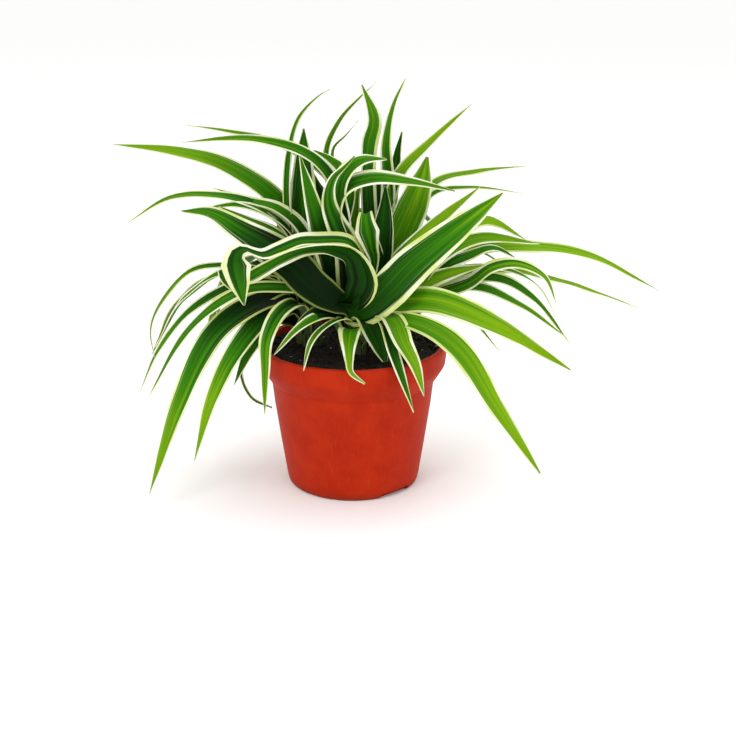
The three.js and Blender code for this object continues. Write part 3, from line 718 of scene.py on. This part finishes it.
def cut_notch(pot, angle):
    """A drain notch through the foot at an angle in degrees"""
    turn = math.radians(angle)
    centre = (FOOT_RADIUS * MM * math.cos(turn), FOOT_RADIUS * MM * math.sin(turn), 0)
    notch = added(bpy.ops.mesh.primitive_cube_add, size=1, location=centre, rotation=(0, 0, turn))
    notch.scale = Vector(NOTCH_SIZE) * MM
    settle(notch)
    apply_modifier(notch, "BEVEL", width=NOTCH_ROUNDING * MM, segments=3)
    apply_modifier(pot, "BOOLEAN", operation="DIFFERENCE", object=notch, solver="EXACT")
    bpy.data.objects.remove(notch)


def make_pot():
    pot = turned(POT_OUTSIDE + POT_INSIDE, POT_SIDES)
    for i in range(NOTCHES):
        cut_notch(pot, NOTCH_ANGLE + i * 360 / NOTCHES)
    smooth(pot, POT_CREASE)
    finish_piece(pot, "nursery_pot", PLASTIC, "pot")


# Soil

def ground_height(x, y):
    """Height of the soil at a place in mm, without its crumbs: a dome with wide clods and small lumps"""
    share = np.hypot(x, y) / SOIL_RADIUS
    dome = lerp(SOIL_MIDDLE, SOIL_EDGE, share * share)
    clods = np.sin(x * 0.41 + y * 0.11) * np.sin(y * 0.37 - x * 0.11) + 0.5 * np.sin((x + y) * 0.8)
    lumps = np.sin(x * 1.7 + 2 * np.sin(y * 0.9)) * np.sin(y * 1.9 + 2 * np.sin(x * 1.1))
    return dome + CLOD_HEIGHT * clods + LUMP_HEIGHT * lumps


def make_soil():
    rings = [(SOIL_RADIUS * i / SOIL_RINGS, SOIL_EDGE) for i in range(SOIL_RINGS, 0, -1)]
    soil = turned(SOIL_WALL + rings, SOIL_SIDES)
    points = points_of(soil)
    wall_end = SOIL_WALL[-1][1]
    top = points[:, 2] > (wall_end + SOIL_EDGE) / 2 * MM
    x, y = points[top, 0] / MM, points[top, 1] / MM
    points[top, 2] = ground_height(x, y) * MM
    move_points(soil, points)
    smooth(soil)
    finish_piece(soil, "potting_soil", PEAT, "soil")


def scatter(name, material, count, sizes, seed):
    """Crumbs lying on the soil: one rough crumb, copied, turned and sized at random"""
    crumb = added(bpy.ops.mesh.primitive_ico_sphere_add, subdivisions=1, radius=1)
    draws = random.Random(seed)
    points = points_of(crumb)
    points *= np.array([[draws.uniform(*CRUMB_ROUGHNESS)] for _ in points])
    move_points(crumb, points)
    copies = []
    for _ in range(count):
        radius = CRUMB_REACH * math.sqrt(draws.random())
        turn = draws.uniform(0, math.tau)
        x, y = radius * math.cos(turn), radius * math.sin(turn)
        size = lerp(*sizes, draws.random() ** 2)
        spin = Matrix.Rotation(draws.uniform(0, CRUMB_TURN), 4, "Z")
        tilt = Matrix.Rotation(draws.uniform(0, CRUMB_TURN), 4, "X")
        length = size * draws.uniform(*CRUMB_LENGTHS)
        form = Matrix.Diagonal((length * MM, size * MM, size * CRUMB_THICKNESS * MM, 1))
        centre = Vector((x, y, ground_height(x, y) + size * CRUMB_LIFT))
        copy = copy_of(crumb)
        copy.data.transform(Matrix.Translation(centre * MM) @ spin @ tilt @ form)
        copies.append(copy)
    bpy.data.objects.remove(crumb)
    finish_piece(joined(copies), name, material, "soil")


# Crowns and leaves

def make_crown(name):
    """The short stock of overlapping sheaths that a crown's leaves grow out of"""
    x, y = CROWNS[name]
    crown = turned(STOCK, CROWN_SIDES)
    points = points_of(crown)
    turn = np.arctan2(points[:, 1], points[:, 0])
    height = points[:, 2] / MM
    groove = np.abs(np.sin(turn * RIBS / 2 + height * RIB_TWIST))
    ribs = 1 - RIB_DEPTH * groove * smoothstep(*RIB_START, height)
    points[:, :2] *= ribs[:, None]
    points[:, 0] += x * MM
    points[:, 1] += y * MM
    move_points(crown, points)
    smooth(crown)
    finish_piece(crown, "crown_" + name, SHEATHS, "rosette_" + name)


def smooth_curve(stations, steps):
    """A centripetal curve through the stations, at even steps of its length"""
    ends = [2 * stations[0] - stations[1], *stations, 2 * stations[-1] - stations[-2]]
    points = []
    for before, start, end, after in zip(ends, ends[1:], ends[2:], ends[3:]):
        spans = ((before, start), (start, end), (end, after))
        first, span, last = [max(np.linalg.norm(b - a) ** 0.5, LEAST_SPAN) for a, b in spans]
        leave = (start - before) / first - (end - before) / (first + span) + (end - start) / span
        arrive = (end - start) / span - (after - start) / (span + last) + (after - end) / last
        leave, arrive = leave * span, arrive * span
        cubic = 2 * start - 2 * end + leave + arrive
        square = -3 * start + 3 * end - 2 * leave - arrive
        for t in np.arange(0, 1, 1 / CURVE_STEPS):
            points.append(start + leave * t + square * t * t + cubic * t ** 3)
    points = np.array([*points, stations[-1]])
    run = np.r_[0, np.cumsum(np.linalg.norm(np.diff(points, axis=0), axis=1))]
    even = np.linspace(0, run[-1], steps + 1)
    return np.stack([np.interp(even, run, points[:, i]) for i in range(3)], 1), run[-1]


def midrib(crown, bearing, stations):
    """Even points along a leaf's midrib, its length and the level direction across it"""
    turn = math.radians(bearing)
    forward = np.array([math.cos(turn), math.sin(turn), 0])
    sideways = np.array([-forward[1], forward[0], 0])
    foot = np.array([crown[0], crown[1], 0])
    knots = []
    for station in [LEAF_ROOT, *stations]:
        out, height, aside = (*station, 0)[:3]
        knots.append(foot + forward * out + sideways * aside + np.array([0, 0, height]))
    centres, length = smooth_curve(knots, LEAF_ALONG)
    return centres, length, sideways


def directions_along(centres, sideways):
    """The ways ahead and aside at each point of a midrib, carried along it without twist"""
    ahead = np.gradient(centres, axis=0)
    ahead /= np.linalg.norm(ahead, axis=1)[:, None]
    sides = []
    side = sideways
    for step in ahead:
        side = side - side.dot(step) * step
        side = side / np.linalg.norm(side)
        sides.append(side)
    return ahead, np.array(sides)


def turned_about(vectors, axes, angles):
    cos, sin = np.cos(angles)[:, None], np.sin(angles)[:, None]
    return vectors * cos + np.cross(axes, vectors) * sin


def value_at(values, along):
    """One value, or several that follow one another evenly along a leaf, at shares of its length"""
    values = np.ravel(values)
    return np.interp(along, np.linspace(0, 1, len(values)), values)


def width_share(along):
    """The width of a leaf that is given by its greatest width alone"""
    rising = lerp(LEAF_BASE_SHARE, 1, np.sin(np.minimum(along / LEAF_WIDEST_AT, 1) * math.pi / 2))
    past = np.clip((along - LEAF_WIDEST_AT) / (1 - LEAF_WIDEST_AT), 0, 1)
    return np.where(along < LEAF_WIDEST_AT, rising, lerp(1, LEAF_TIP_SHARE, past ** LEAF_TAPER))


def flat_blade():
    """The grid that every leaf is a copy of, from -1 to 1 both ways"""
    grid = bpy.ops.mesh.primitive_grid_add
    return added(grid, x_subdivisions=LEAF_ACROSS, y_subdivisions=LEAF_ALONG, size=2)


def lay_blade(blade, crown, leaf, draws):
    """A copy of the flat blade, laid along its midrib, folded, waved and pointed"""
    bearing, width, roll, stations, look = leaf
    centres, length, sideways = midrib(crown, bearing, stations)
    ahead, sides = directions_along(centres, sideways)
    share = np.linspace(0, 1, LEAF_ALONG + 1)
    twist = math.radians(draws.uniform(-LEAF_TWIST, LEAF_TWIST))
    angles = np.radians(value_at(roll, share)) + twist * share
    across = turned_about(-sides, ahead, angles)
    face = turned_about(np.cross(ahead, sides), ahead, angles)

    # u goes from -1 at one rim to 1 at the other, and ring counts the steps along the midrib
    copy = copy_of(blade)
    flat = points_of(copy)
    u = flat[:, 0]
    ring = np.rint((flat[:, 1] + 1) / 2 * LEAF_ALONG).astype(int)
    along = share[ring]
    half = value_at(width, along) / 2
    if np.ndim(width) == 0:
        half = half * width_share(along)
    open_fold = LEAF_FOLD + draws.uniform(-LEAF_FOLD_SPREAD, LEAF_FOLD_SPREAD)
    fold = np.radians(lerp(BASE_FOLD, open_fold, smoothstep(0, BASE_FOLD_END, along)))
    lift = (np.sqrt(u * u + FOLD_ROUNDING ** 2) - FOLD_ROUNDING) * half * np.sin(fold)
    wave = math.tau * along * length / draws.uniform(*WAVE_LENGTHS)
    wave = wave + draws.uniform(*WAVE_STARTS) + np.where(u > 0, WAVE_SHIFT, 0)
    ripple = draws.uniform(*WAVE_HEIGHTS) * np.sin(wave) * u * u * half / half.max()
    points = centres[ring] + across[ring] * (u * half * np.cos(fold))[:, None]
    points = points + face[ring] * (lift + ripple)[:, None]
    move_points(copy, points * MM)
    mark_leaf(copy, [value_at(value, along) for value in look], draws.random())
    return copy


def mark_leaf(piece, looks, seed):
    """Keeps a leaf's tone, margins and seed on its points, where the leaf finish reads them"""
    marks = piece.data.attributes.new("leaf_look", "FLOAT_VECTOR", "POINT")
    marks.data.foreach_set("vector", np.stack(looks, 1).ravel())
    seeds = piece.data.attributes.new("leaf_seed", "FLOAT", "POINT")
    seeds.data.foreach_set("value", np.full(len(piece.data.vertices), seed))


def arch(reach, rise, drop):
    """Stations of a leaf that rises from its crown, arches over and drops at its tip"""
    top = LEAF_ROOT[1] + rise
    return [
        (reach * ARCH_RISE[0], LEAF_ROOT[1] + rise * ARCH_RISE[1]),
        (reach * ARCH_TOP, top),
        (reach * ARCH_FALL[0], top - drop * ARCH_FALL[1]),
        (reach, top - drop),
    ]


def spread_leaves(numbers, draws, count, bearings, reach, rise, drop):
    """Leaves with even bearings: their places come from numbers and their looks from draws"""
    leaves = []
    for i in range(count):
        place = lerp(SPREAD_MARGIN, 1 - SPREAD_MARGIN, next(numbers))
        bearing = lerp(*bearings, (i + place) / count)
        stations = arch(*[lerp(*span, next(numbers)) for span in (reach, rise, drop)])
        width = lerp(*SPREAD_WIDTHS, next(numbers))
        roll = lerp(*SPREAD_ROLLS, next(numbers))
        tone = draws.uniform(*SPREAD_TONES)
        tones = (PAINTED_SHADE_BASE_TONE, tone + PAINTED_SHADE_LOWER_TONE, tone, tone)
        look = (tones, draws.uniform(*SPREAD_CREAM), draws.uniform(*SPREAD_CREAM))
        leaves.append((bearing, width, roll, stations, look))
    return leaves


def make_leaves(name, leaves, blade, draws):
    """A crown's blades as one piece, thickened, with the faces that Solidify adds marked as underside"""
    piece = joined([lay_blade(blade, CROWNS[name], leaf, draws) for leaf in leaves])
    faces = len(piece.data.polygons)
    apply_modifier(piece, "SOLIDIFY", thickness=LEAF_THICKNESS * MM, offset=0, use_even_offset=False)
    under = piece.data.attributes.new("underside", "FLOAT", "FACE")
    values = np.zeros(len(piece.data.polygons))
    values[faces:2 * faces] = 1
    under.data.foreach_set("value", values)
    smooth(piece, LEAF_CREASE)
    finish_piece(piece, "leaves_" + name, LEAF, "rosette_" + name)


def make_plant():
    blade = flat_blade()
    numbers = seeded_random(SEED)
    draws = random.Random(LOOK_SEED)
    for name in CROWNS:
        leaves = list(LEAVES[name])
        for group in SPREADS.get(name, []):
            leaves += spread_leaves(numbers, draws, *group)
        make_crown(name)
        make_leaves(name, leaves, blade, draws)
    bpy.data.objects.remove(blade)


# Floor, light and camera

def make_floor():
    floor = added(bpy.ops.mesh.primitive_plane_add, size=FLOOR_SIZE)
    floor.name = "floor"
    pale = Finish("floor_white", gloss=0.1)
    pale.feed("Base Color", pale.colour(FLOOR_WHITE))
    pale.feed("Roughness", 0.9)
    floor.data.materials.append(pale.material)


def add_light(name, place, target, size, power):
    lamp = bpy.data.lights.new(name, "AREA")
    lamp.shape = "DISK"
    lamp.size = size
    lamp.energy = power
    light = bpy.data.objects.new(name, lamp)
    light.location = place
    light.rotation_euler = (Vector(target) - Vector(place)).to_track_quat("-Z", "Y").to_euler()
    bpy.context.collection.objects.link(light)


def light_sky():
    world = bpy.data.worlds.new("studio")
    world.use_nodes = True
    sky = world.node_tree.nodes["Background"]
    sky.inputs["Color"].default_value = (1, 1, 1, 1)
    sky.inputs["Strength"].default_value = SKY_STRENGTH
    bpy.context.scene.world = world
    bpy.context.scene.view_settings.view_transform = "Standard"


def place_camera():
    lens = bpy.data.cameras.new("camera")
    lens.lens = LENS
    lens.sensor_width = SENSOR
    lens.clip_end = FAR_CLIP
    camera = bpy.data.objects.new("camera", lens)
    camera.location = CAMERA_PLACE
    camera.rotation_euler = (math.radians(90 - CAMERA_DOWN), 0, math.radians(CAMERA_TURN))
    bpy.context.collection.objects.link(camera)
    bpy.context.scene.camera = camera


make_pot()
make_soil()
scatter("peat_crumbs", PEAT, count=700, sizes=(0.5, 1.7), seed=7)
scatter("perlite_grains", PERLITE, count=26, sizes=(0.5, 1.2), seed=11)
make_plant()
make_floor()
for light in LIGHTS:
    add_light(*light)
light_sky()
place_camera()
